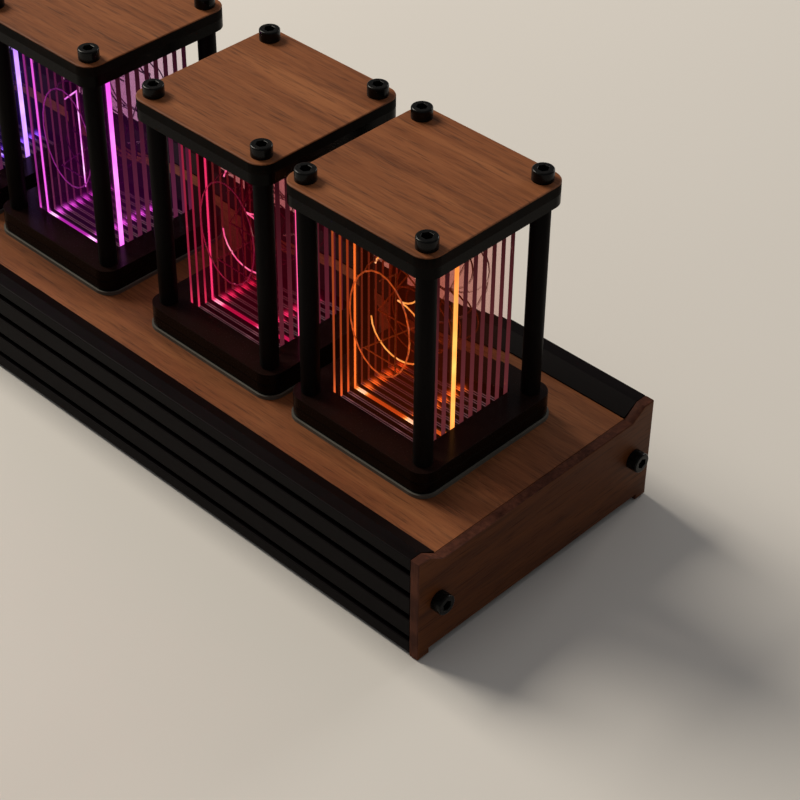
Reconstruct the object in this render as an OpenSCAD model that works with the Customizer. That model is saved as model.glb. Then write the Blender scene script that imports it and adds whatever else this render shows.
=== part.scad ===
// Desk clock with edge-lit digit towers on a walnut and black aluminium base.
// Six towers stand in three pairs. Each holds ten engraved clear sheets, one for each digit.
// Frame: +Z up, front face towards -Y, origin on the table under the middle of the base.

/* [Base] */
// Depth of the base from front face to rear face
base_depth = 86; // [84:0.5:100]
// Height of the rail tops above the table
base_height = 31.5; // [31:0.5:34]
// Height of the top of the walnut deck above the table
deck_level = 28.5; // [28:0.25:29]
// Thickness of the walnut deck
deck_t = 3; // [2.5:0.25:3.5]
// Width of the flat strip on top of each rail
rail_flat_w = 3.6; // [2.5:0.1:4]
// Width of the slope from the flat strip down to the deck
rail_slope_w = 4.6; // [4:0.1:6]
// Thickness of the rail wall
rail_wall_t = 3.2; // [3:0.1:4]
// Spacing of the grooves along the outer face of each rail
groove_pitch = 7.2; // [6.5:0.1:7.2]
// Height of one groove
groove_w = 2; // [1.5:0.1:2.2]
// Depth of one groove
groove_d = 1.5; // [0.8:0.1:1.6]
// Thickness of each walnut end plate
end_t = 3; // [3:0.5:6]
// Distance from the outer face of an end plate to the nearest tower
end_margin = 17; // [14:0.5:30]

/* [Towers] */
// Width and depth of a tower
tower_w = 48; // [48:0.5:52]
// Corner radius of the tower's plates
tower_r = 4.5; // [3:0.5:5]
// Spacing of the two towers of a pair
tower_pitch = 54; // [53:0.5:60]
// Extra gap between two pairs
pair_gap = 10; // [4:0.5:20]
// Distance of each post from the two edges of its corner
post_inset = 4.5; // [4:0.1:5]
// Diameter of a post
post_d = 5; // [4.5:0.1:6]
// Length of a post
post_h = 56.9; // [50:0.1:70]
// Thickness of each of the two black plates under the posts
foot_plate_t = 3.3; // [2.8:0.1:3.5]
// Thickness of the black plate above the posts
top_plate_t = 3; // [2.5:0.1:4]
// Thickness of the walnut cap
cap_t = 3; // [2:0.5:4]
// Thickness of the grey gasket under a tower
gasket_t = 1; // [0.8:0.1:1.5]
// How far the gasket shows around a tower
gasket_lip = 0.5; // [0.2:0.1:1]

/* [Digit sheets] */
// Digit that each tower shows, from the left
lit_digits = [1, 2, 4, 1, 3, 3]; // [0:1:9]
// Distance from the side of a tower to the end of a sheet
sheet_inset = 8.5; // [8:0.5:10]
// Thickness of a sheet
sheet_t = 1.5; // [1.4:0.1:2]
// Spacing of the sheets
sheet_pitch = 3.25; // [3:0.05:3.3]
// Width of the digits between stroke centres
digit_w = 20; // [14:0.5:24]
// Height of the digits between stroke centres
digit_h = 30; // [20:0.5:40]
// Width of an engraved stroke
stroke_w = 0.4; // [0.3:0.1:0.8]
// Depth of an engraved stroke
stroke_d = 0.4; // [0.2:0.1:0.6]

/* [Buttons and socket] */
// Spacing of the three buttons at the rear
button_pitch = 14; // [10:0.5:20]
// Diameter of a button
button_d = 4; // [3.5:0.1:4]
// Travel of a button
button_travel = 0.5; // [0.3:0.1:0.6]
// Place of the power socket along the base
socket_x = 60; // [50:1:70]

/* [Fits] */
// Gap around a button in its bore
button_gap = 0.25; // [0.2:0.05:0.3]
// Gap around a sheet in its slot
sheet_gap = 0.15; // [0.1:0.05:0.2]
// Gap around a screw shank in a clearance hole
screw_gap = 0.2; // [0.1:0.05:0.3]
// Gap around a screw shank in its thread
thread_gap = 0.05; // [0.05:0.05:0.1]
// Gap at the edges of boards and panels
edge_gap = 0.3; // [0.2:0.1:0.5]

/* [Hidden] */
$fn = 48;
cut = 1;                       // overshoot of a cutting shape
TOWERS = 6;
DIGITS = 10;

// metric M3 socket cap screw
m3_d = 3;
m3_head_d = 5.5;
m3_head_h = 3;
m3_hex_d = 2.5 / cos(30);
m3_hex_depth = 1.6;
shank_d = m3_d - 2 * thread_gap;
clear_d = m3_d + 2 * screw_gap;

// towers along the base
pair_pitch = 2 * tower_pitch + pair_gap;
function tower_x(i) = (floor(i / 2) - 1) * pair_pitch + (i % 2 - 0.5) * tower_pitch;
base_len = 2 * (tower_x(TOWERS - 1) + tower_w / 2 + end_margin);
rail_len = base_len - 2 * end_t;
half_depth = base_depth / 2;
post_offset = tower_w / 2 - post_inset;

// rail section, measured inwards from the outer face
rail_bottom = 1;
rail_inner = rail_flat_w + rail_slope_w;
lip_t = 0.4;
deck_bottom = deck_level - deck_t;
deck_slot_depth = 2.5;
ledge_reach = 4;
ledge_w = rail_inner + ledge_reach;
ledge_t = 2;
groove_mid = (rail_bottom + base_height) / 2;
groove_count = 4;
port_inset = 6.7;
port_z = groove_mid;
port_r = 3.5;

// bottom cover in the lower slots of the rails
foot_h = 2;
foot_d = 10;
foot_inset_x = 20;
foot_inset_y = 15;
cover_t = 1.8;
cover_top = foot_h + cover_t;
cover_play = 0.2;
lower_lip_w = 8;
upper_lip_w = 6;
upper_lip_t = 1;
cover_inset = 4;

// end plate
plate_lift = 0.4;
plate_foot_w = 4;
plate_relief = 1.6;
end_screw_len = 12;

// heights of the tower's pieces
gasket_top = deck_level + gasket_t;
socket_top = gasket_top + foot_plate_t;
frame_top = socket_top + foot_plate_t;
post_top = frame_top + post_h;
plate_top = post_top + top_plate_t;
cap_top = plate_top + cap_t;
thread_depth = 10;
cap_screw_len = 12;
mount_screw_len = 16;

// digit sheets in their slots
led_h = 0.8;
led_l = 2;
led_w = 1.25;
led_x = [-13, 4];              // rows of lamps, from the middle of a tower
led_room = 0.3;
sheet_w = tower_w - 2 * sheet_inset;
sheet_bottom = gasket_top + led_h + led_room;
top_slot_depth = 1.2;
sheet_top = post_top + top_slot_depth - sheet_gap;
stack_d = (DIGITS - 1) * sheet_pitch + sheet_t;
window_gap = 0.4;
window_w = sheet_w + 2 * window_gap;
window_d = stack_d + 2 * window_gap;
channel_w = 3;
digit_z = (frame_top + post_top) / 2;
function sheet_y(d) = (d - (DIGITS - 1) / 2) * sheet_pitch;

// light boards under the towers
led_board_inset = 1.5;
led_board_w = 2 * (post_offset - led_board_inset);
led_board_t = 1.6;
led_board_window = led_board_w + 2 * edge_gap;
led_board_bottom = gasket_top - led_board_t;

// main board on the bottom cover
io_z = groove_mid - groove_pitch;
usb_w = 8.94;
usb_h = 3.2;
usb_len = 7.4;
usb_wall = 0.32;
usb_recess = 1;
usb_tongue_w = 6.6;
usb_tongue_t = 0.7;
board_t = 1.6;
board_top = io_z - usb_h / 2;
board_bottom = board_top - board_t;
board_margin = 13;
board_len = 2 * (tower_x(TOWERS - 1) + board_margin);
board_setback = 5.4;
board_rear = half_depth - board_setback;
board_d = 51.6;
board_front = board_rear - board_d;
board_hole_inset = 5;
board_hole_x = board_len / 2 - board_hole_inset;
board_hole_y = [board_front + board_hole_inset, board_rear - board_hole_inset];
spacer_d = 6;
board_screw_len = 3.4;
board_head_h = 2;

// leads from the main board up to the light boards
plug_l = 12;
plug_w = 5;
plug_h = 5;
lead_l = 10;
lead_t = 1.2;

// parts on the main board
controller_size = [25, 18, 3.2];
controller_x = -59;
chip_size = [10.3, 7.5, 2.4];
cell_x = 0;
cell_y = 12;
cell_d = 20;
cell_t = 3.2;
holder_d = 23;
holder_base_t = 1;
holder_wall_gap = 0.3;

// buttons and their switches
button_x0 = -socket_x;
button_recess = 0.2;
button_face = half_depth - button_recess;
button_collar_d = 6;
button_collar_t = 1;
button_collar_y = half_depth - rail_wall_t - button_collar_t;
stem_d = 2.4;
switch_size = [6, 3.4, 3.5];
switch_setback = 0.3;
switch_front = board_rear - switch_setback;
switch_bore_gap = 0.3;
stem_entry = 0.4;
switch_floor_gap = 0.6;
switch_bore_depth = stem_entry + button_travel + switch_floor_gap;
stem_end = switch_front - stem_entry;

// Shared shapes

// square plate with round corners, standing on z = 0
module round_plate(w, r, h) {
    linear_extrude(h) {
        square([w, w - 2 * r], center = true);
        square([w - 2 * r, w], center = true);
        for (x = [-1, 1], y = [-1, 1])
            translate([x * (w / 2 - r), y * (w / 2 - r)]) circle(r);
    }
}

// runs its children along the base, children drawn in the plane of depth and height
module along_base(length) {
    translate([-length / 2, 0, 0]) rotate([90, 0, 90]) linear_extrude(length) children();
}

// its children at the four posts of tower i
module at_posts(i, z) {
    for (x = [-1, 1], y = [-1, 1])
        translate([tower_x(i) + x * post_offset, y * post_offset, z]) children();
}

// socket cap screw, seat of its head on z = 0, shank downwards
module cap_screw(length) {
    translate([0, 0, -length]) cylinder(d = shank_d, h = length + cut);
    difference() {
        cylinder(d = m3_head_d, h = m3_head_h);
        translate([0, 0, m3_head_h - m3_hex_depth])
            cylinder(d = m3_hex_d, h = m3_hex_depth + cut, $fn = 6);
    }
}

// Base

// section of a rail: grooved wall, deck slot, screw port and slot for the bottom cover
module rail_section() {
    slot_u = rail_inner - deck_slot_depth;
    lip_z = deck_level + lip_t;
    cover_slot_top = cover_top + cover_play;
    port_u = port_inset + port_r;
    difference() {
        polygon([[0, rail_bottom], [0, base_height], [rail_flat_w, base_height], [rail_inner, lip_z],
                 [rail_inner, deck_level], [slot_u, deck_level], [slot_u, deck_bottom],
                 [ledge_w, deck_bottom], [ledge_w, deck_bottom - ledge_t],
                 [slot_u, deck_bottom - ledge_t], [rail_wall_t, deck_bottom - 2 * ledge_t],
                 [rail_wall_t, port_z + port_r], [port_u, port_z + port_r],
                 [port_u, port_z - port_r], [rail_wall_t, port_z - port_r],
                 [rail_wall_t, cover_slot_top + upper_lip_t], [upper_lip_w, cover_slot_top + upper_lip_t],
                 [upper_lip_w, cover_slot_top], [rail_wall_t, cover_slot_top], [rail_wall_t, foot_h],
                 [lower_lip_w, foot_h], [lower_lip_w, rail_bottom]]);
        for (i = [0:groove_count - 1])
            translate([-cut, groove_mid + (i - (groove_count - 1) / 2) * groove_pitch - groove_w / 2])
                square([groove_d + cut, groove_w]);
    }
}

// rail along the front, with a screw port through its whole length
module rail() {
    difference() {
        translate([0, -half_depth, 0]) along_base(rail_len) rail_section();
        translate([-rail_len / 2 - cut, port_inset - half_depth, port_z])
            rotate([0, 90, 0]) cylinder(d = m3_d, h = rail_len + 2 * cut);
    }
}

module front_rail() {
    color("#1d1d1f") rail();
}

module rear_rail() {
    color("#1d1d1f") difference() {
        mirror([0, 1, 0]) rail();
        for (i = [-1:1]) translate([button_x0 + i * button_pitch, 0, io_z])
            rotate([-90, 0, 0]) cylinder(d = button_d + 2 * button_gap, h = half_depth + cut);
        translate([socket_x, half_depth + cut, io_z])
            usb_outline(usb_w + 2 * edge_gap, usb_h + 2 * edge_gap, rail_wall_t + 2 * cut);
    }
}

module deck_panel() {
    deck_d = 2 * (half_depth - rail_inner + deck_slot_depth - edge_gap);
    color("#8a5a38") difference() {
        translate([-rail_len / 2, -deck_d / 2, deck_bottom]) cube([rail_len, deck_d, deck_t]);
        for (i = [0:TOWERS - 1]) {
            translate([tower_x(i) - led_board_window / 2, -led_board_window / 2, deck_bottom - cut])
                cube([led_board_window, led_board_window, deck_t + 2 * cut]);
            at_posts(i, deck_bottom - cut) cylinder(d = clear_d, h = deck_t + 2 * cut);
        }
    }
}

// half of the end plate's outline, from its middle to its rear edge and back
end_half = [[0, deck_level], [half_depth - rail_inner, deck_level], [half_depth - rail_flat_w, base_height],
            [half_depth, base_height], [half_depth, plate_lift], [half_depth - plate_foot_w, plate_lift],
            [half_depth - plate_foot_w, plate_lift + plate_relief], [0, plate_lift + plate_relief]];
end_outline = concat(end_half, [for (i = [len(end_half) - 2:-1:1]) [-end_half[i].x, end_half[i].y]]);

// left_end_plate stands at side -1 and right_end_plate at side 1
module end_plate(side) {
    color("#6b4227") translate([side * (base_len - end_t) / 2, 0, 0]) difference() {
        along_base(end_t) polygon(end_outline);
        for (y = [-1, 1]) translate([-end_t, y * (half_depth - port_inset), port_z])
            rotate([0, 90, 0]) cylinder(d = clear_d, h = 2 * end_t);
    }
}

module end_screws() {
    color("#2a2a2c") for (x = [-1, 1], y = [-1, 1])
        translate([x * base_len / 2, y * (half_depth - port_inset), port_z])
            rotate([0, x * 90, 0]) cap_screw(end_screw_len);
}

module bottom_cover() {
    cover_d = 2 * (half_depth - cover_inset);
    color("#202022") difference() {
        translate([-rail_len / 2, -cover_d / 2, foot_h]) cube([rail_len, cover_d, cover_t]);
        at_board_holes(foot_h - cut) cylinder(d = m3_d, h = cover_t + 2 * cut);
    }
}

module rubber_feet() {
    color("#111111") for (x = [-1, 1], y = [-1, 1])
        translate([x * (rail_len / 2 - foot_inset_x), y * (half_depth - foot_inset_y), 0])
            cylinder(d = foot_d, h = foot_h);
}

// Electronics in the base

module at_board_holes(z) {
    for (x = [-1, 1], y = board_hole_y) translate([x * board_hole_x, y, z]) children();
}

module main_board() {
    color("#16402a") difference() {
        translate([-board_len / 2, board_front, board_bottom])
            cube([board_len, board_rear - board_front, board_t]);
        at_board_holes(board_bottom - cut) cylinder(d = clear_d, h = board_t + 2 * cut);
    }
}

module board_spacers() {
    spacer_h = board_bottom - cover_top;
    color("#c0c0c0") at_board_holes(cover_top) difference() {
        cylinder(d = spacer_d, h = spacer_h);
        translate([0, 0, -cut]) cylinder(d = m3_d, h = spacer_h + 2 * cut);
    }
}

module board_screws() {
    color("#c0c0c0") at_board_holes(board_top) {
        cylinder(d = m3_head_d, h = board_head_h);
        translate([0, 0, -board_screw_len]) cylinder(d = shank_d, h = board_screw_len + cut);
    }
}

// a flat part standing on the main board, size as [length, depth, height]
module board_block(x, size) {
    translate([x - size.x / 2, cell_y - size.y / 2, board_top]) cube(size);
}

module controller_module() {
    color("#b8bcc0") board_block(controller_x, controller_size);
}

module clock_chip() {
    color("#202020") board_block(-controller_x, chip_size);
}

module cell_holder() {
    seat_d = cell_d + 2 * holder_wall_gap;
    color("#2b2b2b") translate([cell_x, cell_y, board_top]) difference() {
        cylinder(d = holder_d, h = holder_base_t + cell_t);
        translate([0, 0, holder_base_t]) cylinder(d = seat_d, h = cell_t + cut);
    }
}

module coin_cell() {
    color("#d0d0d0") translate([cell_x, cell_y, board_top + holder_base_t]) cylinder(d = cell_d, h = cell_t);
}

// flat outline with round ends, from the rear face inwards
module usb_outline(w, h, depth) {
    rotate([90, 0, 0]) linear_extrude(depth) {
        square([w - h, h], center = true);
        for (x = [-1, 1]) translate([x * (w - h) / 2, 0]) circle(d = h);
    }
}

module usb_socket() {
    face_y = half_depth - usb_recess;
    color("#c8c8cc") translate([socket_x, face_y, io_z]) {
        difference() {
            usb_outline(usb_w, usb_h, usb_len);
            translate([0, cut, 0])
                usb_outline(usb_w - 2 * usb_wall, usb_h - 2 * usb_wall, usb_len + cut - usb_wall);
        }
        translate([-usb_tongue_w / 2, -usb_len + usb_wall / 2, -usb_tongue_t / 2])
            cube([usb_tongue_w, usb_len - usb_recess, usb_tongue_t]);
    }
}

module button_switches() {
    bore_d = stem_d + 2 * switch_bore_gap;
    color("#303030") for (i = [-1:1]) translate([button_x0 + i * button_pitch, switch_front, board_top])
        difference() {
            translate([-switch_size.x / 2, -switch_size.y, 0]) cube(switch_size);
            translate([0, cut, io_z - board_top])
                rotate([90, 0, 0]) cylinder(d = bore_d, h = switch_bore_depth + cut);
        }
}

// push button, i from -1 to 1 along the rear rail
module push_button(i) {
    color("#3a3a3c") translate([button_x0 + i * button_pitch, 0, io_z]) rotate([-90, 0, 0]) {
        translate([0, 0, button_collar_y]) {
            cylinder(d = button_collar_d, h = button_collar_t);
            cylinder(d = button_d, h = button_face - button_collar_y);
        }
        translate([0, 0, stem_end])
            cylinder(d = stem_d, h = button_collar_y - stem_end + button_collar_t / 2);
    }
}

// Towers

module tower_gaskets() {
    color("#b9bbb8") for (i = [0:TOWERS - 1]) difference() {
        translate([tower_x(i), 0, deck_level])
            round_plate(tower_w + 2 * gasket_lip, tower_r + gasket_lip, gasket_t);
        translate([tower_x(i) - led_board_window / 2, -led_board_window / 2, deck_level - cut])
            cube([led_board_window, led_board_window, gasket_t + 2 * cut]);
        at_posts(i, deck_level - cut) cylinder(d = clear_d, h = gasket_t + 2 * cut);
    }
}

// ten slots for the sheets of one tower, from height z upwards
module sheet_slots(z, depth) {
    for (d = [0:DIGITS - 1])
        translate([-sheet_w / 2 - sheet_gap, sheet_y(d) - sheet_t / 2 - sheet_gap, z])
            cube([sheet_w + 2 * sheet_gap, sheet_t + 2 * sheet_gap, depth]);
}

// lower black plate: the sheets stand in its slots, over two channels for the light
module socket_plates() {
    color("#141416") for (i = [0:TOWERS - 1]) difference() {
        translate([tower_x(i), 0, gasket_top]) round_plate(tower_w, tower_r, foot_plate_t);
        translate([tower_x(i), 0, 0]) {
            sheet_slots(sheet_bottom, foot_plate_t);
            for (x = led_x) translate([x - channel_w / 2, -stack_d / 2, gasket_top - cut])
                cube([channel_w, stack_d, sheet_bottom - gasket_top + 2 * cut]);
        }
        at_posts(i, gasket_top - cut) cylinder(d = clear_d, h = foot_plate_t + 2 * cut);
    }
}

// upper black plate with a window around the stack of sheets
module tower_frame(i) {
    color("#141416") difference() {
        translate([tower_x(i), 0, socket_top]) round_plate(tower_w, tower_r, foot_plate_t);
        translate([tower_x(i) - window_w / 2, -window_d / 2, socket_top - cut])
            cube([window_w, window_d, foot_plate_t + 2 * cut]);
        at_posts(i, socket_top - cut) cylinder(d = clear_d, h = foot_plate_t + 2 * cut);
    }
}

module tower_posts() {
    color("#18181a") for (i = [0:TOWERS - 1]) at_posts(i, frame_top) difference() {
        cylinder(d = post_d, h = post_h);
        translate([0, 0, -cut]) cylinder(d = m3_d, h = thread_depth + cut);
        translate([0, 0, post_h - thread_depth]) cylinder(d = m3_d, h = thread_depth + cut);
    }
}

module tower_top_plate(i) {
    color("#141416") difference() {
        translate([tower_x(i), 0, post_top]) round_plate(tower_w, tower_r, top_plate_t);
        translate([tower_x(i), 0, 0]) sheet_slots(post_top - cut, top_slot_depth + cut);
        at_posts(i, post_top - cut) cylinder(d = clear_d, h = top_plate_t + 2 * cut);
    }
}

module tower_cap(i) {
    color("#8a5a38") difference() {
        translate([tower_x(i), 0, plate_top]) round_plate(tower_w, tower_r, cap_t);
        at_posts(i, plate_top - cut) cylinder(d = clear_d, h = cap_t + 2 * cut);
    }
}

module cap_screws() {
    color("#2a2a2c") for (i = [0:TOWERS - 1]) at_posts(i, cap_top) cap_screw(cap_screw_len);
}

// from under the deck up into the lower ends of the posts
module mount_screws() {
    color("#2a2a2c") for (i = [0:TOWERS - 1])
        at_posts(i, deck_bottom) rotate([180, 0, 0]) cap_screw(mount_screw_len);
}

module led_boards() {
    color("#16402a") for (i = [0:TOWERS - 1])
        translate([tower_x(i) - led_board_w / 2, -led_board_w / 2, led_board_bottom])
            cube([led_board_w, led_board_w, led_board_t]);
}

// two lights under every sheet
module leds() {
    color("#f0e8c8") for (i = [0:TOWERS - 1], d = [0:DIGITS - 1], x = led_x)
        translate([tower_x(i) + x - led_l / 2, sheet_y(d) - led_w / 2, gasket_top])
            cube([led_l, led_w, led_h]);
}

module lead_plugs() {
    color("#e8e4d8") for (i = [0:TOWERS - 1], z = [board_top, led_board_bottom - plug_h])
        translate([tower_x(i) - plug_l / 2, -plug_w / 2, z]) cube([plug_l, plug_w, plug_h]);
}

module ribbon_leads() {
    lead_h = led_board_bottom - board_top - 2 * plug_h;
    color("#707478") for (i = [0:TOWERS - 1])
        translate([tower_x(i) - lead_l / 2, -lead_t / 2, board_top + plug_h]) cube([lead_l, lead_t, lead_h]);
}

// Digits, drawn as stroke paths about the middle of the digit

arc_step = 15;
dw = digit_w / 2;
dh = digit_h / 2;

// points on an elliptical arc with centre c and radii r, from angle a0 to a1
function arc(c, r, a0, a1) =
    let (n = ceil(abs(a1 - a0) / arc_step))
    [for (i = [0:n]) let (a = a0 + (a1 - a0) * i / n) [c.x + r.x * cos(a), c.y + r.y * sin(a)]];

function flip(path) = [for (p = path) -p];
six_tail = arc([dw, -0.42 * dh], [2 * dw, 1.42 * dh], 180, 105);

// open strokes of each digit
LINES = [
    [],
    [[[-0.25 * dw, 0.68 * dh], [0.3 * dw, dh], [0.3 * dw, -dh]]],
    [concat(arc([0, 0.42 * dh], [dw, 0.58 * dh], 165, -35), [[-dw, -dh], [dw, -dh]])],
    [arc([-0.14 * dw, 0.59 * dh], [0.74 * dw, 0.41 * dh], 170, -88),
     arc([-0.06 * dw, -0.41 * dh], [0.94 * dw, 0.59 * dh], 90, -178)],
    [[[0.35 * dw, dh], [-dw, -0.4 * dh], [dw, -0.4 * dh]], [[0.35 * dw, dh], [0.35 * dw, -dh]]],
    [[[0.8 * dw, dh], [-0.7 * dw, dh], [-0.85 * dw, 0.05 * dh]],
     arc([0, -0.38 * dh], [dw, 0.62 * dh], 140, -160)],
    [six_tail],
    [[[-dw, dh], [dw, dh], [-0.3 * dw, -dh]]],
    [],
    [flip(six_tail)]];

// closed loops of each digit, as [centre height, half width, half height] in half sizes
LOOPS = [[[0, 1, 1]], [], [], [], [], [],
         [[-0.42, 1, 0.58]], [], [[0.5, 0.82, 0.5], [-0.5, 1, 0.5]], [[0.42, 1, 0.58]]];

function unit(v) = v / norm(v);
function left_of(v) = [-v.y, v.x];

// offset of point i of a path, so that both neighbouring strokes keep their width
function miter(path, i) =
    let (last = len(path) - 1,
         before = unit(path[max(i, 1)] - path[max(i, 1) - 1]),
         after = unit(path[min(i, last - 1) + 1] - path[min(i, last - 1)]),
         side = unit(left_of(before) + left_of(after)))
    side / (side * left_of(after));

// outline of a stroke along an open path
function stroke(path) = concat(
    [for (i = [0:len(path) - 1]) path[i] + miter(path, i) * stroke_w / 2],
    [for (i = [len(path) - 1:-1:0]) path[i] - miter(path, i) * stroke_w / 2]);

// ellipse without its repeated last point
function ring(c, r) = [for (a = [0:arc_step:359]) [c.x + r.x * cos(a), c.y + r.y * sin(a)]];

module digit(d) {
    half = [stroke_w / 2, stroke_w / 2];
    for (path = LINES[d]) polygon(stroke(path));
    for (k = LOOPS[d]) difference() {
        polygon(ring([0, k[0] * dh], [k[1] * dw, k[2] * dh] + half));
        polygon(ring([0, k[0] * dh], [k[1] * dw, k[2] * dh] - half));
    }
}

// clear sheet of digit d, engraved in its rear face
module sheet(i, d) {
    translate([tower_x(i), sheet_y(d), 0]) difference() {
        translate([-sheet_w / 2, -sheet_t / 2, sheet_bottom])
            cube([sheet_w, sheet_t, sheet_top - sheet_bottom]);
        translate([0, sheet_t / 2 + cut, digit_z])
            rotate([90, 0, 0]) linear_extrude(stroke_d + cut) digit(d);
    }
}

module tower_clear_sheets(i) {
    color("#d8e4ee", 0.35) for (d = [0:DIGITS - 1]) if (d != lit_digits[i]) sheet(i, d);
}

module tower_lit_sheet(i) {
    color("#ff8a50", 0.6) sheet(i, lit_digits[i]);
}

front_rail();
rear_rail();
deck_panel();
end_plate(-1);  // left_end_plate
end_plate(1);  // right_end_plate
end_screws();
bottom_cover();
rubber_feet();
main_board();
board_spacers();
board_screws();
controller_module();
clock_chip();
cell_holder();
coin_cell();
usb_socket();
button_switches();
push_button(-1);  // set_button
push_button(0);  // plus_button
push_button(1);  // minus_button
tower_gaskets();
socket_plates();
tower_posts();
cap_screws();
mount_screws();
led_boards();
leds();
lead_plugs();
ribbon_leads();
for (i = [0:TOWERS - 1]) {
    tower_frame(i);
    tower_clear_sheets(i);
    tower_lit_sheet(i);
    tower_top_plate(i);
    tower_cap(i);
}
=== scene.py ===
import math

import bmesh
import bpy
from mathutils import Matrix, Vector


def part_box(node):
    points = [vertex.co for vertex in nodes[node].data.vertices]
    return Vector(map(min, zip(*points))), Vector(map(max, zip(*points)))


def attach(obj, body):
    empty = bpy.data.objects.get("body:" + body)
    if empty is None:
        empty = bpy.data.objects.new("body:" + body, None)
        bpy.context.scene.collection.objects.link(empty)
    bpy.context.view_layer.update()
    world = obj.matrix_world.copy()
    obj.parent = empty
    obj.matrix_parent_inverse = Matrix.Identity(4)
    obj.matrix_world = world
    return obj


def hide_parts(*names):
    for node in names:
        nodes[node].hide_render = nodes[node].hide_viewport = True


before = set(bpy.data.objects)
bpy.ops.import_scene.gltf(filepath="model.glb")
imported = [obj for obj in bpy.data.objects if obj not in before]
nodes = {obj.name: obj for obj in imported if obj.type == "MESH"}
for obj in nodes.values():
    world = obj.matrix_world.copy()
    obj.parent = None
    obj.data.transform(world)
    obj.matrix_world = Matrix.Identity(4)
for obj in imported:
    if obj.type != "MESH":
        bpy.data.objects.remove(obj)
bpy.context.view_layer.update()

# Front and rear rails: one aluminium extrusion with four lengthwise grooves and a sloped inner
# shoulder, cut to length and black anodised. The rear one is bored for the buttons and the socket.
MM = 0.001
RAIL_EDGE = 0.25 * MM
RAIL_SCRATCH = (30, 1400, 1400)
LENGTHWISE = 0.99
SAME_POINT = 0.002 * MM
SAME_PLANE = math.radians(0.4)
SHARP_EDGE = math.radians(40)
SHADED_SHARP = math.radians(32)
SQUARE_ON = 0.9999
FLAT_AREA = 30 * MM * MM


class Signal:
    """One socket in a finish's node tree, so that masks and tones are written as sums."""

    def __init__(self, tree, socket):
        self.tree = tree
        self.socket = socket

    def node(self, kind, settings=None, sockets=None, out=0):
        """A new node with its settings made first, then its sockets; gives one of its outputs."""
        made = self.tree.nodes.new(kind)
        for key, value in (settings or {}).items():
            if key == "stops":
                ramp = made.color_ramp.elements
                while len(ramp) < len(value):
                    ramp.new(0.5)
                for stop, (place, colour) in zip(ramp, value):
                    stop.position = place
                    stop.color = (*colour, 1.0)
            else:
                setattr(made, key, value)
        for key, value in (sockets or {}).items():
            if isinstance(value, Signal):
                self.tree.links.new(value.socket, made.inputs[key])
            else:
                made.inputs[key].default_value = value
        return Signal(self.tree, made.outputs[out])

    def math(self, operation, *values):
        return self.node("ShaderNodeMath", {"operation": operation}, dict(enumerate(values)))

    def __add__(self, other):
        return self.math("ADD", self, other)

    def __sub__(self, other):
        return self.math("SUBTRACT", self, other)

    def __rsub__(self, other):
        return self.math("SUBTRACT", other, self)

    def __mul__(self, other):
        return self.math("MULTIPLY", self, other)

    def __truediv__(self, other):
        return self.math("DIVIDE", self, other)

    def __rtruediv__(self, other):
        return self.math("DIVIDE", other, self)

    def __abs__(self):
        return self.math("ABSOLUTE", self)

    def __gt__(self, other):
        return self.math("GREATER_THAN", self, other)

    def __lt__(self, other):
        return self.math("LESS_THAN", self, other)

    __radd__ = __add__
    __rmul__ = __mul__

    def rise(self, low, high):
        """0 at low, 1 at high, held beyond."""
        return self.node("ShaderNodeMapRange", {}, {"Value": self, "From Min": low, "From Max": high})

    def held(self):
        """Kept between 0 and 1."""
        return self.rise(0.0, 1.0)

    def noise(self, scale, detail=2.0, rough=0.5, twist=0.0):
        """Noise on this vector, with its own scale along each axis."""
        laid = self.node("ShaderNodeMapping", {}, {"Vector": self, "Scale": scale})
        return self.node("ShaderNodeTexNoise", {}, {"Vector": laid, "Scale": 1.0, "Detail": detail,
                                                    "Roughness": rough, "Distortion": twist})

    def ramp(self, stops):
        """A run of colours along this value."""
        return self.node("ShaderNodeValToRGB", {"stops": stops}, {"Fac": self})

    def blend(self, low, high):
        """The colour low where this is 0, and high where it is 1."""
        ends = [tone if isinstance(tone, Signal) else (*tone, 1.0) for tone in (low, high)]
        return self.node("ShaderNodeMix", {"data_type": "RGBA"}, {0: self, 6: ends[0], 7: ends[1]}, 2)

    def bump(self, strength, depth):
        return self.node("ShaderNodeBump", {}, {"Strength": strength, "Distance": depth, "Height": self})

    def axes(self):
        split = self.node("ShaderNodeSeparateXYZ", {}, {0: self}).socket.node
        return [Signal(self.tree, socket) for socket in split.outputs]


def paint(red, green, blue):
    """A colour read off a screen, as the light values that a shader takes."""
    parts = [value / 255 for value in (red, green, blue)]
    return tuple(c / 12.92 if c <= 0.04045 else ((c + 0.055) / 1.055) ** 2.4 for c in parts)


def start_finish(name):
    """An empty finish and the piece's own coordinates, in metres."""
    made = bpy.data.materials.new(name)
    made.use_nodes = True
    tree = made.node_tree
    return made, Signal(tree, tree.nodes.new("ShaderNodeTexCoord").outputs["Object"])


def set_finish(made, sockets):
    """Sets or links the sockets of a finish's own shader."""
    shader = made.node_tree.nodes["Principled BSDF"]
    for key, value in sockets.items():
        if isinstance(value, Signal):
            made.node_tree.links.new(value.socket, shader.inputs[key])
        else:
            shader.inputs[key].default_value = value
    return made


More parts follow.
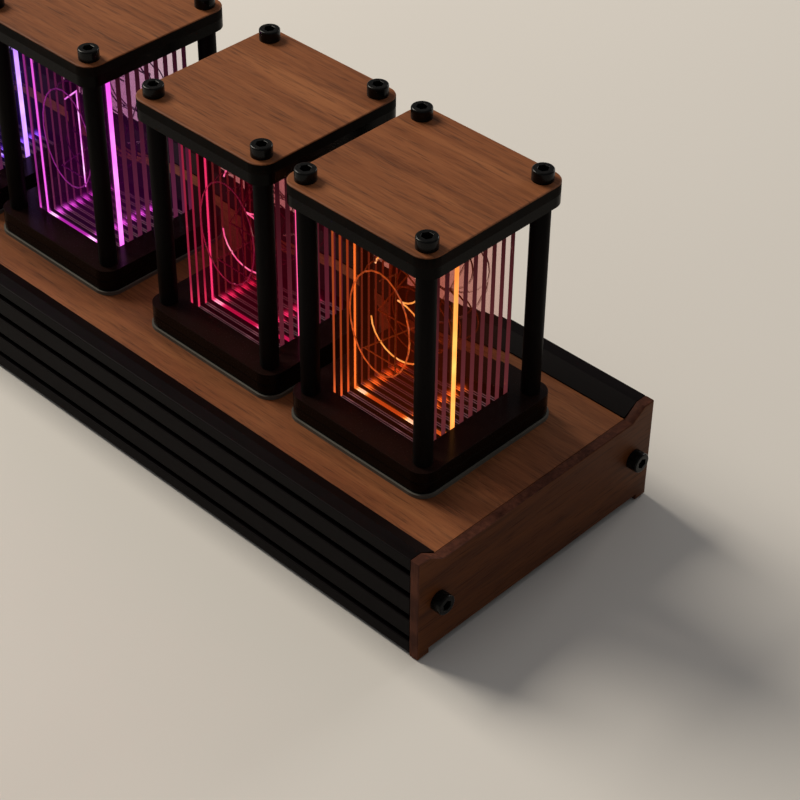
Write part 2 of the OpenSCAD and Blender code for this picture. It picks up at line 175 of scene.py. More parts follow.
def anodised(name, tone, scratch):
    """Black anodised aluminium, with tool lines at the scales of scratch and a blasted grain."""
    made, place = start_finish(name)
    lines = place.noise(scratch, 3.0, 0.6)
    grain = place.noise((5200, 5200, 5200), 1.0)
    wear = place.noise((60, 60, 60), 2.0)
    dark = tuple(0.72 * c for c in tone)
    light = tuple(1.5 * c for c in tone)
    return set_finish(made, {
        "Base Color": (lines * 0.6 + wear * 0.4).rise(0.3, 0.7).blend(dark, light),
        "Roughness": 0.38 + 0.12 * lines + 0.1 * wear,
        "Specular IOR Level": 0.035,
        "Normal": (lines * 0.7 + grain * 0.3).bump(0.12, 0.05 * MM)})


def merged_copy(node):
    """A copy of a CAD node, its loose triangles joined into whole faces."""
    shape = bmesh.new()
    shape.from_mesh(nodes[node].data)
    bmesh.ops.remove_doubles(shape, verts=shape.verts, dist=SAME_POINT)
    bmesh.ops.dissolve_limit(shape, angle_limit=SAME_PLANE, verts=shape.verts, edges=shape.edges)
    return shape


def sharp_edges(shape):
    return [e for e in shape.edges if len(e.link_faces) == 2 and e.calc_face_angle(0) > SHARP_EDGE]


def break_edges(shape, width, segments, picked):
    """Takes the sharp edge off the picked edges of a shape."""
    bmesh.ops.bevel(shape, geom=picked, offset=width, segments=segments, profile=0.5,
                    affect="EDGES", clamp_overlap=True, material=-1)


def set_piece(shape, name, finishes, slot, *replaced, body="clock"):
    """Makes a shape a piece of the clock in place of the CAD nodes it stands for."""
    shape.normal_update()
    round_faces = [max(abs(part) for part in face.normal) < SQUARE_ON and face.calc_area() < FLAT_AREA
                   for face in shape.faces]
    mesh = bpy.data.meshes.new(name)
    shape.to_mesh(mesh)
    shape.free()
    for finish in finishes:
        mesh.materials.append(finish)
    mesh.set_sharp_from_angle(angle=SHADED_SHARP)
    mesh.polygons.foreach_set("use_smooth", round_faces)
    piece = bpy.data.objects.new(name, mesh)
    bpy.context.collection.objects.link(piece)
    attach(piece, body)
    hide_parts(*replaced)


rail_black = anodised("rail_black_anodised", paint(13, 9, 10), RAIL_SCRATCH)
for node in ("front_rail", "rear_rail"):
    rail = merged_copy(node)
    along = [e for e in sharp_edges(rail)
             if abs((e.verts[0].co - e.verts[1].co).normalized().x) > LENGTHWISE]
    break_edges(rail, RAIL_EDGE, 2, along)
    set_piece(rail, node.replace("rail", "extrusion"), [rail_black], "black_anodised", node)

# Walnut deck: a 3 mm veneered board, laser cut and oiled, slid into the slots of the two rails
# with its grain along the clock.
DECK_TONE = (1.12, 1.05, 0.92)


def walnut(name, tone, turn=(0, 0, 0), shift=(0, 0, 0)):
    """Oiled walnut, grain along X: broad figure, fine dark streaks and short open pores."""
    def shade(red, green, blue):
        return tuple(a * b for a, b in zip(tone, paint(red, green, blue)))
    made, place = start_finish(name)
    board = place.node("ShaderNodeMapping", {}, {"Vector": place, "Rotation": turn, "Location": shift})
    figure = board.noise((9, 150, 150), 4.0, 0.6, 0.5)
    streak = board.noise((45, 800, 800), 3.0, 0.6, 0.4)
    fibre = board.noise((160, 4200, 4200), 2.0, 0.6)
    pores = board.noise((150, 2600, 2600), 1.0, 0.4).rise(0.58, 0.74)
    ground = figure.ramp([(0.30, shade(86, 47, 27)), (0.46, shade(116, 69, 42)),
                          (0.60, shade(128, 79, 50)), (0.74, shade(146, 95, 62))])
    streaked = (streak.rise(0.50, 0.72) * 0.6).blend(ground, shade(66, 36, 21))
    brushed = (fibre.rise(0.35, 0.75) * 0.35).blend(streaked, shade(152, 101, 67))
    return set_finish(made, {
        "Base Color": (pores * (0.15 + 0.6 * streak)).blend(brushed, shade(44, 23, 14)),
        "Roughness": 0.46 + 0.16 * fibre + 0.1 * pores,
        "Specular IOR Level": 0.16,
        "Normal": (fibre * 0.5 - pores * 0.8).bump(0.25, 0.08 * MM)})


def dress(finish, *names):
    """Gives CAD nodes that stay as they are their finish."""
    for name in names:
        for slot in nodes[name].material_slots:
            slot.material = finish


dress(walnut("deck_walnut", DECK_TONE), "deck_panel")

# Walnut end plates: 3 mm boards, grain along their length, laser cut with scorched edges, their walnut
# darkened as painted shade. Each follows the outline of the rails, stands on two small toes and is
# screwed on.
# This tone makes the end plates' walnut far darker than the deck and caps: painted shade for the end
# that faces away from the key lamp.
END_TONE_PAINTED_SHADE = (0.52, 0.40, 0.19)
END_EDGE = 0.3 * MM
SLOPE_FOOT = 8.2 * MM
SLOPE_TOP = 3.6 * MM
TOE_W = 4 * MM
TOE_H = 1.6 * MM
FACING = 0.9


def charred(name, soot_tone, brown_tone, gloss):
    """Laser-burnt walnut edge: soot, with brown showing through in fine upright lines."""
    made, place = start_finish(name)
    scorch = place.noise((900, 900, 120), 3.0, 0.6)
    soot = place.noise((90, 90, 200), 2.0)
    return set_finish(made, {
        "Base Color": (scorch * soot * 2.0).rise(0.35, 0.9).blend(soot_tone, brown_tone),
        "Roughness": 0.5 + 0.25 * scorch,
        "Specular IOR Level": gloss,
        "Normal": scorch.bump(0.3, 0.1 * MM)})


def thicken(shape, way):
    """Extrudes all the flat faces of a shape the given way into a solid board."""
    grown = bmesh.ops.extrude_face_region(shape, geom=list(shape.faces))["geom"]
    bmesh.ops.translate(shape, vec=way, verts=[v for v in grown if isinstance(v, bmesh.types.BMVert)])
    bmesh.ops.recalc_face_normals(shape, faces=shape.faces)


# The end plates' walnut, darkened by that tone as painted shade.
end_walnut_painted_shade = walnut("end_plate_walnut_painted_shade", END_TONE_PAINTED_SHADE, (0, 0, math.radians(90)))
burnt_end = charred("end_plate_charred_edge", paint(64, 36, 27), paint(100, 60, 45), 0.05)
deck_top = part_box("deck_panel")[1].z
for node in ("left_end_plate", "right_end_plate"):
    low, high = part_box(node)
    half = [(0, deck_top), (high.y - SLOPE_FOOT, deck_top), (high.y - SLOPE_TOP, high.z),
            (high.y, high.z), (high.y, low.z), (high.y - TOE_W, low.z),
            (high.y - TOE_W, low.z + TOE_H), (0, low.z + TOE_H)]
    outline = half + [(-y, z) for y, z in reversed(half[1:-1])]
    plate = bmesh.new()
    plate.faces.new([plate.verts.new((low.x, y, z)) for y, z in outline])
    thicken(plate, (high.x - low.x, 0, 0))
    for face in plate.faces:
        face.material_index = 0 if abs(face.normal.x) > FACING else 1
    rim = [e for e in sharp_edges(plate)
           if e.link_faces[0].material_index != e.link_faces[1].material_index]
    break_edges(plate, END_EDGE, 2, rim)
    set_piece(plate, node.replace("plate", "board"), [end_walnut_painted_shade, burnt_end], "walnut", node)

# Socket cap screws through the end plates into the screw ports of the rails: black oxide steel, cold
# headed with a hexagon socket, a rounded rim and a knurled side.
HEAD_R = 2.75 * MM
HEAD_H = 3.0 * MM
HEAD_SIDES = 48
RIM_ROUND = 0.4 * MM
HEX_R = 2.5 * MM / math.sqrt(3)
HEX_DEPTH = 1.6 * MM
HEX_EDGE = 0.12 * MM


def cap_head(shape, seat):
    """One socket cap screw head, its seat turned and moved by the matrix seat."""
    bmesh.ops.create_circle(shape, segments=HEAD_SIDES, radius=HEAD_R)
    rim = list(shape.edges)
    flats = bmesh.ops.create_circle(shape, segments=HEAD_SIDES, radius=HEX_R)["verts"]
    for vert in flats:
        angle = math.atan2(vert.co.y, vert.co.x) % math.radians(60) - math.radians(30)
        vert.co *= math.cos(math.radians(30)) / math.cos(angle)
    mouth = [e for e in shape.edges if e not in rim]
    bmesh.ops.translate(shape, verts=shape.verts, vec=(0, 0, HEAD_H))
    bmesh.ops.bridge_loops(shape, edges=rim + mouth)
    for loop, depth in ((rim, HEAD_H), (mouth, HEX_DEPTH)):
        grown = bmesh.ops.extrude_edge_only(shape, edges=loop)["geom"]
        deep = [v for v in grown if isinstance(v, bmesh.types.BMVert)]
        bmesh.ops.translate(shape, verts=deep, vec=(0, 0, -depth))
        closing = [e for e in grown if isinstance(e, bmesh.types.BMEdge)
                   and all(v in deep for v in e.verts)]
        bmesh.ops.contextual_create(shape, geom=closing)
    bmesh.ops.recalc_face_normals(shape, faces=shape.faces)
    break_edges(shape, HEX_EDGE, 2, mouth)
    break_edges(shape, RIM_ROUND, 4, rim)
    bmesh.ops.transform(shape, matrix=seat, verts=shape.verts)


def take_in(whole, part):
    """Moves the mesh of one shape into another."""
    carrier = bpy.data.meshes.new("carrier")
    part.to_mesh(carrier)
    part.free()
    whole.from_mesh(carrier)
    bpy.data.meshes.remove(carrier)


def screw_set(name, seats, finish, slot, *replaced):
    """Like screw heads, one at each seat, as one piece."""
    whole = bmesh.new()
    for seat in seats:
        head = bmesh.new()
        cap_head(head, seat)
        take_in(whole, head)
    set_piece(whole, name, [finish], slot, *replaced)


def black_oxide(name):
    """Black oxide steel, slightly oily, with a faint brown cast and rubbed patches."""
    made, place = start_finish(name)
    rubbed = place.noise((700, 700, 700), 3.0, 0.6)
    knurl = place.noise((4000, 4000, 300), 1.0)
    return set_finish(made, {
        "Base Color": rubbed.rise(0.35, 0.75).blend(paint(8, 8, 7), paint(20, 18, 16)),
        "Roughness": 0.16 + 0.2 * rubbed,
        "Specular IOR Level": 0.14,
        "Normal": (rubbed * 0.4 + knurl * 0.6).bump(0.1, 0.05 * MM)})


screw_black = black_oxide("screw_black_oxide")
end_low, end_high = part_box("end_screws")
end_seats = []
for side in (-1, 1):
    for y in (end_low.y + HEAD_R, end_high.y - HEAD_R):
        where = Vector((side * (end_high.x - HEAD_H), y, (end_low.z + end_high.z) / 2))
        end_seats.append(Matrix.Translation(where) @ Matrix.Rotation(side * math.radians(90), 4, "Y"))
screw_set("end_plate_screws", end_seats, screw_black, "black_steel", "end_screws")

# Bottom cover and feet: a black plastic sheet slid into the lower slots of the rails, and four round
# rubber feet glued under it.
FOOT_R = 5 * MM
FOOT_SIDES = 40
FOOT_ROUND = 0.45 * MM


def moulded(name, light, dark, rough, grain=2600, relief=0.06):
    """Moulded or sheet plastic and rubber: even colour, slight mottling and a fine texture."""
    made, place = start_finish(name)
    cloud = place.noise((45, 45, 45), 3.0)
    fine = place.noise((grain, grain, grain), 2.0)
    return set_finish(made, {
        "Base Color": (cloud * 0.6 + fine * 0.4).rise(0.32, 0.68).blend(dark, light),
        "Roughness": rough + 0.12 * (fine - 0.5) + 0.08 * (cloud - 0.5),
        "Normal": fine.bump(relief, 0.1 * MM)})


dress(moulded("cover_black", paint(33, 33, 35), paint(24, 24, 26), 0.5), "bottom_cover")
foot_rubber = moulded("foot_rubber", paint(27, 27, 27), paint(18, 18, 18), 0.75, 1800, 0.15)
foot_low, foot_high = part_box("rubber_feet")
feet = bmesh.new()
for x in (foot_low.x + FOOT_R, foot_high.x - FOOT_R):
    for y in (foot_low.y + FOOT_R, foot_high.y - FOOT_R):
        middle = Matrix.Translation((x, y, foot_high.z / 2))
        bmesh.ops.create_cone(feet, cap_ends=True, segments=FOOT_SIDES, radius1=FOOT_R, radius2=FOOT_R,
                              depth=foot_high.z, matrix=middle)
break_edges(feet, FOOT_ROUND, 3, sharp_edges(feet))
set_piece(feet, "turned_feet", [foot_rubber], "foot_rubber", "rubber_feet")

# Main board and what is soldered on it: green glass-epoxy board screwed to four spacers, with the
# controller, the clock chip, and a coin cell in its holder that keeps the time.
TRACKS_PER_M = 400
TRACK_HALF_W = 0.12


def board_green(name):
    """Solder mask over copper: tracks show as slightly lighter lines on a fine square grid."""
    made, place = start_finish(name)
    grid = place.node("ShaderNodeMapping", {}, {"Vector": place, "Scale": (TRACKS_PER_M,) * 3})
    across, deep, _ = grid.axes()
    lane = abs(across - across.math("ROUND", across))
    cross = abs(deep - deep.math("ROUND", deep))
    patch = place.noise((70, 70, 70), 1.0)
    track = (lane < TRACK_HALF_W) * (patch > 0.5) + (cross < TRACK_HALF_W) * (patch < 0.5)
    return set_finish(made, {
        "Base Color": (track * 0.8).blend(paint(17, 62, 40), paint(38, 98, 64)),
        "Roughness": 0.32 + 0.1 * patch,
        "Normal": track.bump(0.2, 0.03 * MM)})


def plated(name, light, dark, rough):
    """Nickel-plated or drawn metal with fine rubbing marks."""
    made, place = start_finish(name)
    rubbed = place.noise((300, 2400, 2400), 3.0, 0.6)
    stain = place.noise((120, 120, 120), 2.0)
    return set_finish(made, {
        "Base Color": (rubbed * 0.5 + stain * 0.5).rise(0.3, 0.7).blend(dark, light),
        "Metallic": 1.0,
        "Roughness": rough + 0.15 * rubbed,
        "Normal": rubbed.bump(0.05, 0.03 * MM)})


board_mask = board_green("board_green_mask")
plated_steel = plated("plated_steel", paint(205, 204, 200), paint(160, 158, 154), 0.2)
chip_black = moulded("chip_black", paint(40, 40, 42), paint(28, 28, 30), 0.6, 4200)
holder_black = moulded("holder_black", paint(30, 30, 31), paint(20, 20, 21), 0.5)
dress(board_mask, "main_board")
dress(plated_steel, "board_spacers", "board_screws", "coin_cell")
dress(chip_black, "controller_module", "clock_chip")
dress(holder_black, "cell_holder")

# Rear controls: three moulded push buttons in bores of the rear rail, each on its switch, and a
# drawn steel power socket soldered to the board edge.
BUTTON_ROUND = 0.35 * MM
ON_FACE = 0.01 * MM
button_black = moulded("button_black", paint(38, 38, 40), paint(27, 27, 29), 0.42)
dress(plated("socket_steel", paint(196, 195, 192), paint(150, 149, 146), 0.28), "usb_socket")
dress(chip_black, "button_switches")
for node in ("set_button", "plus_button", "minus_button"):
    button = merged_copy(node)
    face_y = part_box(node)[1].y
    crown = [e for e in sharp_edges(button) if all(abs(v.co.y - face_y) < ON_FACE for v in e.verts)]
    break_edges(button, BUTTON_ROUND, 4, crown)
    set_piece(button, node.replace("button", "push_button"), [button_black], "button_plastic", node,
              body=node)

# Tower feet: a thin grey gasket on the deck, a slotted black acrylic plate that holds the sheets
# upright, and the screws that hold the tower down from below.
TOWERS = range(1, 7)
SOCKET_BORDER = 22.5 * MM
SOCKET_EDGE = 0.15 * MM


def black_acrylic(name, lit_top_tone, edge_tone, face_z, gloss):
    """Black cast acrylic: deep gloss, with dust and faint wiping marks in the shine, and an upper face
    painted lighter and redder as light and reflected glow.
    """
    made, place = start_finish(name)
    wiped = place.noise((40, 160, 160), 3.0)
    dust = place.noise((2600, 2600, 2600), 1.0).rise(0.66, 0.74)
    # The upper face takes the lighter, redder tone: painted light and painted reflection of the glow.
    upper = place.axes()[2].rise(face_z - 0.2 * MM, face_z - 0.05 * MM)
    ground = upper.blend(edge_tone, lit_top_tone)
    return set_finish(made, {
        "Base Color": (dust * 0.2).blend(ground, tuple(2 * c for c in lit_top_tone)),
        "Roughness": 0.16 + 0.14 * wiped + 0.2 * dust,
        "Specular IOR Level": gloss,
        "Normal": wiped.bump(0.02, 0.05 * MM)})


dress(moulded("gasket_grey", paint(98, 94, 84), paint(78, 75, 67), 0.7, 1600), "tower_gaskets")
frame_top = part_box("tower_1_frame")[1].z
# The frames' upper faces get paint(31, 19, 16), painted light and painted reflection of the red glow;
# the sides keep the acrylic's black.
acrylic_black = black_acrylic("tower_black_acrylic", paint(31, 19, 16), paint(12, 8, 6), frame_top, 0.08)
tower_x = [sum(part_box(f"tower_{tower}_frame"), Vector()).x / 2 for tower in TOWERS]
sockets = merged_copy("socket_plates")
outside = [v for v in sockets.verts
           if max(abs(v.co.y), min(abs(v.co.x - x) for x in tower_x)) > SOCKET_BORDER]
border = [e for e in sharp_edges(sockets) if all(v in outside for v in e.verts)]
break_edges(sockets, SOCKET_EDGE, 2, border)
set_piece(sockets, "slotted_socket_plates", [acrylic_black], "black_acrylic", "socket_plates")
dress(screw_black, "mount_screws")

# Light boards under the sheets: glass-epoxy boards with two small lamps below each sheet, and for
# each tower a flat lead down to the main board with a nylon plug at either end.
dress(board_mask, "led_boards")
dress(moulded("lamp_resin", paint(236, 228, 206), paint(214, 204, 178), 0.35), "leds")
dress(moulded("plug_nylon", paint(226, 222, 210), paint(204, 200, 188), 0.45), "lead_plugs")
dress(moulded("lead_jacket", paint(112, 112, 116), paint(88, 88, 92), 0.5), "ribbon_leads")

# Tower frames: black acrylic rings on the socket plates, laser cut with round corners and a window
# for the sheets, their edges flame polished.
CORNER_R = 4.5 * MM
CORNER_STEPS = 10
WINDOW_HALF = Vector((15.9 * MM, 15.775 * MM, 0))
WINDOW_R = 0.4 * MM
RING_EDGE = 0.08 * MM
LEVEL = 1e-6


def round_square(shape, low, high, corner, z):
    """A flat square face with round corners, from its lowest to its highest corner."""
    grid = bmesh.ops.create_grid(shape, x_segments=1, y_segments=1, size=0.5)["verts"]
    bmesh.ops.scale(shape, vec=(high.x - low.x, high.y - low.y, 1), verts=grid)
    bmesh.ops.translate(shape, vec=((low.x + high.x) / 2, (low.y + high.y) / 2, z), verts=grid)
    bmesh.ops.bevel(shape, geom=grid, offset=corner, segments=CORNER_STEPS, profile=0.5,
                    affect="VERTICES", clamp_overlap=False, material=-1)


for tower in TOWERS:
    low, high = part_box(f"tower_{tower}_frame")
    centre = Vector(((low.x + high.x) / 2, 0, 0))
    ring = bmesh.new()
    round_square(ring, low, high, CORNER_R, low.z)
    window = bmesh.new()
    round_square(window, centre - WINDOW_HALF, centre + WINDOW_HALF, WINDOW_R, low.z)
    for loop in (ring, window):
        bmesh.ops.delete(loop, geom=list(loop.faces), context="FACES_ONLY")
    take_in(ring, window)
    bmesh.ops.bridge_loops(ring, edges=list(ring.edges))
    thicken(ring, (0, 0, high.z - low.z))
    level = [e for e in sharp_edges(ring) if abs(e.verts[0].co.z - e.verts[1].co.z) < LEVEL]
    break_edges(ring, RING_EDGE, 1, level)
    set_piece(ring, f"tower_{tower}_ring", [acrylic_black], "black_acrylic", f"tower_{tower}_frame")

# Digit sheets: ten clear acrylic sheets in each tower, one digit engraved in each. Two lamps under
# one sheet light it through its lower edge, and the light leaves at its ends and its engraving.
# Sizes in this section are in millimetres, since the finishes measure from the tower's middle.
SHEETS = 10
SHEET_PITCH = 3.25
SHEET_T = 1.5
SHEET_HALF_W = 15.5
FIRST_SHEET_Y = -(SHEETS - 1) / 2 * SHEET_PITCH
LAMP_X = (-13.0, 4.0)
LAMP_SPREAD = 3.0
NEAR_SPREAD = 30.0
TRAIL_REACH = 8.0
SKIN = 0.03
LOWEST_CUT = 3.0
LIT_FOOT = 0.4
CLEAR_FOOT = 0.18
LIT_STRENGTH = 1.7
CLEAR_STRENGTH = 1.6
HAZE = 0.16
HAZE_SHARE = 0.025
ACRYLIC_IOR = 1.49
GLOSS_FROM = 0.09
BLACK = (0.0, 0.0, 0.0)
GLOWS = [
    ((0.02, 0.55, 0.85), (0.45, 0.95, 1.0)), ((0.05, 0.16, 1.0), (0.45, 0.62, 1.0)),
    ((0.30, 0.05, 1.0), (0.68, 0.42, 1.0)), ((0.78, 0.04, 0.70), (1.0, 0.34, 0.95)),
    ((0.88, 0.012, 0.13), (1.0, 0.16, 0.42)), ((1.0, 0.15, 0.018), (1.0, 0.58, 0.12))]


class SheetMarks:
    """Which part of its sheet a surface is, as masks, and how far it lies from the lit sheet."""

    def __init__(self, place, tower, foot_band):
        low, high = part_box(f"tower_{tower}_lit_sheet")
        middle = (low + high) / 2 / MM
        self.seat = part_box("socket_plates")[1].z / MM
        laid = place.node("ShaderNodeMapping", {}, {
            "Vector": place, "Location": (-middle.x, 0, 0), "Scale": (1 / MM,) * 3})
        self.x, y, self.z = laid.axes()
        self.step = (y - FIRST_SHEET_Y) / SHEET_PITCH
        inside = abs(self.step - self.step.math("ROUND", self.step)) * SHEET_PITCH
        self.end = abs(self.x) > SHEET_HALF_W - SKIN
        self.face = 1 - self.end
        self.right = self.x > 0
        self.cut = (inside < SHEET_T / 2 - SKIN) * self.face * (self.z > self.seat + LOWEST_CUT)
        self.foot = (abs(self.z - self.seat) < foot_band) * self.face
        self.sunk = self.z < self.seat - foot_band
        self.height = self.z.rise(self.seat, high.z / MM)
        self.first = self.step < 0.5
        self.last = self.step > SHEETS - 1.5
        self.ahead = (middle.y - y) > 0.5
        far = abs(y - middle.y)
        self.near = 1 / (1 + far * far / NEAR_SPREAD)
        self.trail = 1 / (1 + far / TRAIL_REACH)
        spill = [1 / (1 + (self.x - lamp) * (self.x - lamp) / LAMP_SPREAD) for lamp in LAMP_X]
        self.spot = spill[0] * spill[0] + spill[1] * spill[1]

    def above_seat(self, start, end):
        """0 at start and 1 at end, both heights above the socket plate."""
        return self.z.rise(self.seat + start, self.seat + end)


def lit_light(marks, place, core, hot):
    """The lit sheet's light: its colour, how much there is, and how far it hides what is behind."""
    stops = [(0.1, core), (0.6, hot), (0.9, tuple(0.4 + 0.6 * c for c in hot))]
    uneven = place.noise((240, 240, 160), 2.0).rise(0.3, 0.7)
    flash = marks.spot.rise(0.0, 0.55)
    rim = abs(marks.x).rise(SHEET_HALF_W - 1.2, SHEET_HALF_W)
    halo = (rim + marks.above_seat(1.6, 0.3)) * marks.face
    bloom = (halo * halo * (1 - marks.foot)).held()
    warm = marks.right * (0.45 + 0.55 * uneven) * (1 - 1.5 * abs(marks.height - 0.35))
    end_glow = (warm + 0.3 * (1 - marks.right)).held().blend(core, hot)
    foot_glow = marks.foot.blend(end_glow, flash.ramp(stops))
    glow = marks.cut.blend(foot_glow, (uneven * 0.7 + 0.25).ramp(stops))
    amount = (marks.end * (1.0 - 0.3 * marks.height) + marks.cut * (0.6 + 0.4 * uneven)
              + marks.foot * (0.35 + flash) + bloom * 0.4)
    solid = marks.end + marks.cut * 0.95 + marks.foot + marks.sunk + bloom * 0.3
    return glow, amount, solid


def clear_light(marks, place, core, hot, crisp):
    """What the unlit sheets pass on of that light: colour, amount, and how far they hide."""
    mauve = tuple(0.7 * a + 0.12 * b for a, b in zip(paint(150, 70, 88), core))
    dull = tuple(0.6 * a + 0.2 * b for a, b in zip(paint(158, 96, 74), core))
    ash = paint(170, 125, 135)
    speck = place.noise((900, 900, 900), 1.0).rise(0.35, 0.75)
    behind = 1 - marks.ahead
    off_foot = marks.face * (1 - marks.foot)
    glint = marks.ahead * (0.06 + 0.5 * marks.above_seat(9, 2))
    left_amount = marks.end * (1 - marks.right) * (0.22 + glint)
    right_amount = marks.end * marks.right * (0.20 - 0.19 * marks.height)
    line = 0.03 + 0.04 * marks.near + 0.34 * marks.first
    cut_amount = marks.cut * line * (0.4 + 0.9 * speck) * crisp
    flare = marks.spot * behind * marks.above_seat(2, 0.3) * off_foot
    foot_amount = marks.foot * (0.34 + marks.spot * (0.4 + 0.6 * marks.trail) * behind * 1.6) + flare
    haze = HAZE * marks.trail * (1.2 - marks.height) * off_foot
    amount = left_amount + right_amount + cut_amount + foot_amount + haze
    sides = marks.right.blend((marks.ahead * 0.6).blend(dull, core), mauve)
    dashes = ((marks.foot + flare) * 0.3).blend(core, hot)
    grey_foot = marks.foot * (1 - marks.spot.rise(0.05, 0.4) * behind)
    glow = marks.end.blend(grey_foot.blend(dashes, ash), sides)
    engraved = marks.cut * (0.25 + 0.25 * marks.near + 0.25 * marks.first) * crisp
    solid = (marks.end * 0.95 + engraved + marks.foot * (0.5 + 0.5 * marks.spot) + marks.sunk
             + 0.6 * flare)
    return glow, amount, solid


def edge_lit(name, tower, lit):
    """Clear acrylic that shows light at its ends, its engraving and its foot."""
    core, hot = GLOWS[tower - 1]
    made, place = start_finish(name)
    marks = SheetMarks(place, tower, LIT_FOOT if lit else CLEAR_FOOT)
    if lit:
        glow, amount, solid = lit_light(marks, place, core, hot)
    else:
        crisp = 1.0 if tower == TOWERS[-1] else 0.5
        glow, amount, solid = clear_light(marks, place, core, hot, crisp)
    # Base colour painted with glow light: pink on the engraving and foot, and mauve on the ends, lighter
    # near the lamps at the foot and darker towards the top.
    painted_glow_marks = (marks.cut + marks.foot).held().blend(BLACK, paint(128, 84, 84))
    painted_glow_ends = marks.height.blend(paint(118, 60, 70), paint(76, 29, 33))
    above = 1 - marks.sunk
    set_finish(made, {
        "Base Color": (marks.end * above).blend(painted_glow_marks, painted_glow_ends),
        "Roughness": 0.45,
        "Specular IOR Level": 0.0,
        "Emission Color": (amount * above).held().blend(BLACK, glow),
        "Emission Strength": LIT_STRENGTH if lit else CLEAR_STRENGTH})
    # The clear acrylic passes light tinted with the tower's glow colour, built up over twenty faces:
    # painted glow light on what is seen through the tower and on its shadows.
    glow_hue_filter = (*[0.91 + 0.08 * c for c in core], 1.0)
    bent = place.node("ShaderNodeBsdfRefraction", {}, {
        "Color": glow_hue_filter, "Roughness": 0.0, "IOR": ACRYLIC_IOR})
    shine = place.node("ShaderNodeBsdfGlossy", {}, {"Color": (0.9, 0.88, 0.87, 1.0), "Roughness": 0.03})
    passing = place.node("ShaderNodeBsdfTransparent", {}, {"Color": glow_hue_filter})
    fresnel = place.node("ShaderNodeFresnel", {}, {"IOR": ACRYLIC_IOR})
    gloss = fresnel.rise(GLOSS_FROM, 1.0) * (marks.first + marks.last)
    faced = place.node("ShaderNodeMixShader", {}, {0: gloss, 1: bent, 2: shine})
    shadow = place.node("ShaderNodeLightPath", {}, {}, 1)
    clear = place.node("ShaderNodeMixShader", {}, {0: shadow, 1: faced, 2: passing})
    frosted = Signal(made.node_tree, made.node_tree.nodes["Principled BSDF"].outputs[0])
    share = HAZE_SHARE + (1 - HAZE_SHARE) * solid.held()
    whole = place.node("ShaderNodeMixShader", {}, {0: share, 1: clear, 2: frosted})
    made.node_tree.links.new(whole.socket, made.node_tree.nodes["Material Output"].inputs["Surface"])
    return made


for tower in TOWERS:
    dress(edge_lit(f"tower_{tower}_lit_acrylic", tower, True), f"tower_{tower}_lit_sheet")
    dress(edge_lit(f"tower_{tower}_clear_acrylic", tower, False), f"tower_{tower}_clear_sheets")

# Posts: aluminium spacers at the corners of each tower, turned from 5 mm rod with chamfered ends and
# black anodised. Screws from below and above hold them between the plates.
POST_R = 2.5 * MM
POST_SIDES = 36
POST_INSET = 4.5 * MM
POST_EDGE = 0.3 * MM
POST_SCRATCH = (1400, 1400, 200)
post_low, post_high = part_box("tower_posts")
corners = []
for tower in TOWERS:
    low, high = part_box(f"tower_{tower}_cap")
    corners += [(x, y) for x in (low.x + POST_INSET, high.x - POST_INSET)
                for y in (low.y + POST_INSET, high.y - POST_INSET)]
posts = bmesh.new()
for x, y in corners:
    middle = Matrix.Translation((x, y, (post_low.z + post_high.z) / 2))
    bmesh.ops.create_cone(posts, cap_ends=True, segments=POST_SIDES, radius1=POST_R, radius2=POST_R,
                          depth=post_high.z - post_low.z, matrix=middle)
break_edges(posts, POST_EDGE, 2, sharp_edges(posts))
post_black = anodised("post_black_anodised", paint(14, 11, 10), POST_SCRATCH)
set_piece(posts, "turned_posts", [post_black], "black_anodised", "tower_posts")

# Top plates: black acrylic plates on the posts, laser cut with slots that hold the upper ends of the
# sheets. The screws of the caps clamp them.
TOP_BLACK = paint(10, 7, 5)
top_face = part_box("tower_1_top_plate")[1].z
top_acrylic = black_acrylic("top_black_acrylic", TOP_BLACK, TOP_BLACK, top_face, 0.04)
dress(top_acrylic, *[f"tower_{tower}_top_plate" for tower in TOWERS])

# Walnut caps: 3 mm boards on the top plates, laser cut with charred sides; their rounded upper rim keeps
# the lighter walnut colour as a painted highlight. Each is cut from another place of the board.
CAP_TONE = (1.06, 0.96, 0.80)
CAP_SHIFT = (0.031, 0.017, 0.09)
CAP_EDGE = 0.28 * MM
# The tilt above which the rounded rim faces keep the lighter walnut: a painted highlight along the top
# edge.
LIGHT_RIM_TILT = 0.3
charred_edge = charred("cap_charred_edge", paint(9, 6, 4), paint(24, 14, 9), 0.04)
for tower in TOWERS:
    low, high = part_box(f"tower_{tower}_cap")
    cap = bmesh.new()
    round_square(cap, low, high, CORNER_R, low.z)
    thicken(cap, (0, 0, high.z - low.z))
    for face in cap.faces:
        face.material_index = 0 if face.normal.z > FACING else 1
    rim = [e for e in sharp_edges(cap) if all(v.co.z > high.z - LEVEL for v in e.verts)]
    break_edges(cap, CAP_EDGE, 2, rim)
    # Rim faces that tilt upwards keep the lighter walnut: a painted highlight along the top edge.
    for face in cap.faces:
        if face.normal.z > LIGHT_RIM_TILT:
            face.material_index = 0
    cap_walnut = walnut(f"cap_{tower}_walnut", CAP_TONE, shift=tuple(tower * part for part in CAP_SHIFT))
    set_piece(cap, f"tower_{tower}_walnut_cap", [cap_walnut, charred_edge], "walnut",
              f"tower_{tower}_cap")

# Cap screws: the same black oxide socket cap screws as in the end plates, through the walnut caps
# and top plates into the posts.
cap_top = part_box("tower_1_cap")[1].z
cap_seats = [Matrix.Translation((x, y, cap_top)) for x, y in corners]
screw_set("cap_screw_heads", cap_seats, screw_black, "black_steel", "cap_screws")

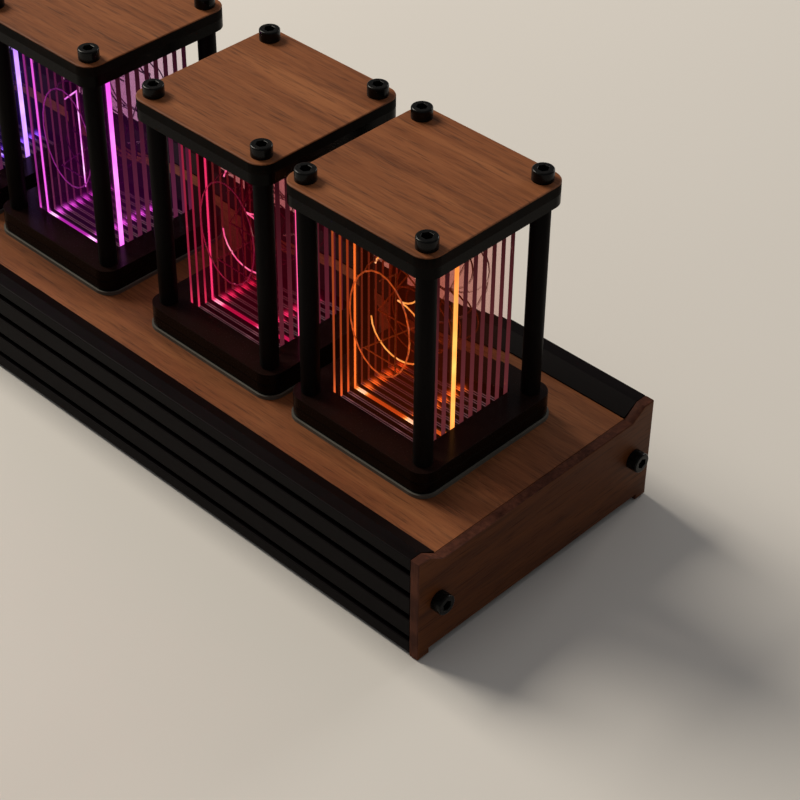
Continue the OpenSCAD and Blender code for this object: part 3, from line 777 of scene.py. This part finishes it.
# Floor, lamps and camera: a plain pale floor under two soft studio lamps and a dim even sky, seen
# from the right front above, along the clock's right end.
FLOOR_HALF = 6.0
SKY_COLOUR = (0.96, 0.96, 0.98, 1.0)
SKY_STRENGTH = 0.17
LENS = 95.6
SENSOR = 36
CAMERA_PLACE = (0.43027, -0.30396, 0.36908)
CAMERA_ROUND = math.radians(43.89)
CAMERA_TILT = math.radians(90 - 38.89)
CAMERA_ROLL = math.radians(0.58)


def soft_lamp(name, place, aim, size, power, colour):
    """A square lamp that faces the point aim."""
    lamp = bpy.data.lights.new(name, "AREA")
    lamp.size = size
    lamp.energy = power
    lamp.color = colour
    stand = bpy.data.objects.new(name, lamp)
    stand.location = place
    stand.rotation_euler = (Vector(aim) - Vector(place)).to_track_quat("-Z", "Y").to_euler()
    bpy.context.collection.objects.link(stand)


floor_shape = bmesh.new()
bmesh.ops.create_grid(floor_shape, x_segments=1, y_segments=1, size=FLOOR_HALF)
floor_mesh = bpy.data.meshes.new("floor")
floor_shape.to_mesh(floor_mesh)
floor_shape.free()
floor = bpy.data.objects.new("floor", floor_mesh)
bpy.context.collection.objects.link(floor)
floor_finish, floor_place = start_finish("floor_pale")
floor_cloud = floor_place.noise((3, 3, 3), 2.0)
set_finish(floor_finish, {"Base Color": floor_cloud.blend(paint(214, 210, 204), paint(222, 219, 214)),
                          "Roughness": 0.7})
floor_mesh.materials.append(floor_finish)

soft_lamp("key_lamp", (-1.4, -0.15, 1.4), (0.1, 0, 0.05), 0.9, 41, (1.0, 0.92, 0.80))
soft_lamp("rear_lamp", (0.1, 1.7, 0.75), (0, 0.04, 0.03), 0.6, 6, (1.0, 0.95, 0.9))
scene = bpy.context.scene
scene.world = bpy.data.worlds.new("studio")
scene.world.use_nodes = True
sky = scene.world.node_tree.nodes["Background"].inputs
sky["Color"].default_value = SKY_COLOUR
sky["Strength"].default_value = SKY_STRENGTH
scene.view_settings.view_transform = "Standard"
scene.cycles.transparent_max_bounces = 64
scene.cycles.transmission_bounces = 48
scene.cycles.max_bounces = 48

lens = bpy.data.cameras.new("camera")
lens.lens = LENS
lens.sensor_width = SENSOR
lens.clip_start = 0.01
camera = bpy.data.objects.new("camera", lens)
camera.location = CAMERA_PLACE
aimed = Matrix.Rotation(CAMERA_ROUND, 3, "Z") @ Matrix.Rotation(CAMERA_TILT, 3, "X")
camera.rotation_euler = (aimed @ Matrix.Rotation(CAMERA_ROLL, 3, "Z")).to_euler()
bpy.context.collection.objects.link(camera)
scene.camera = camera
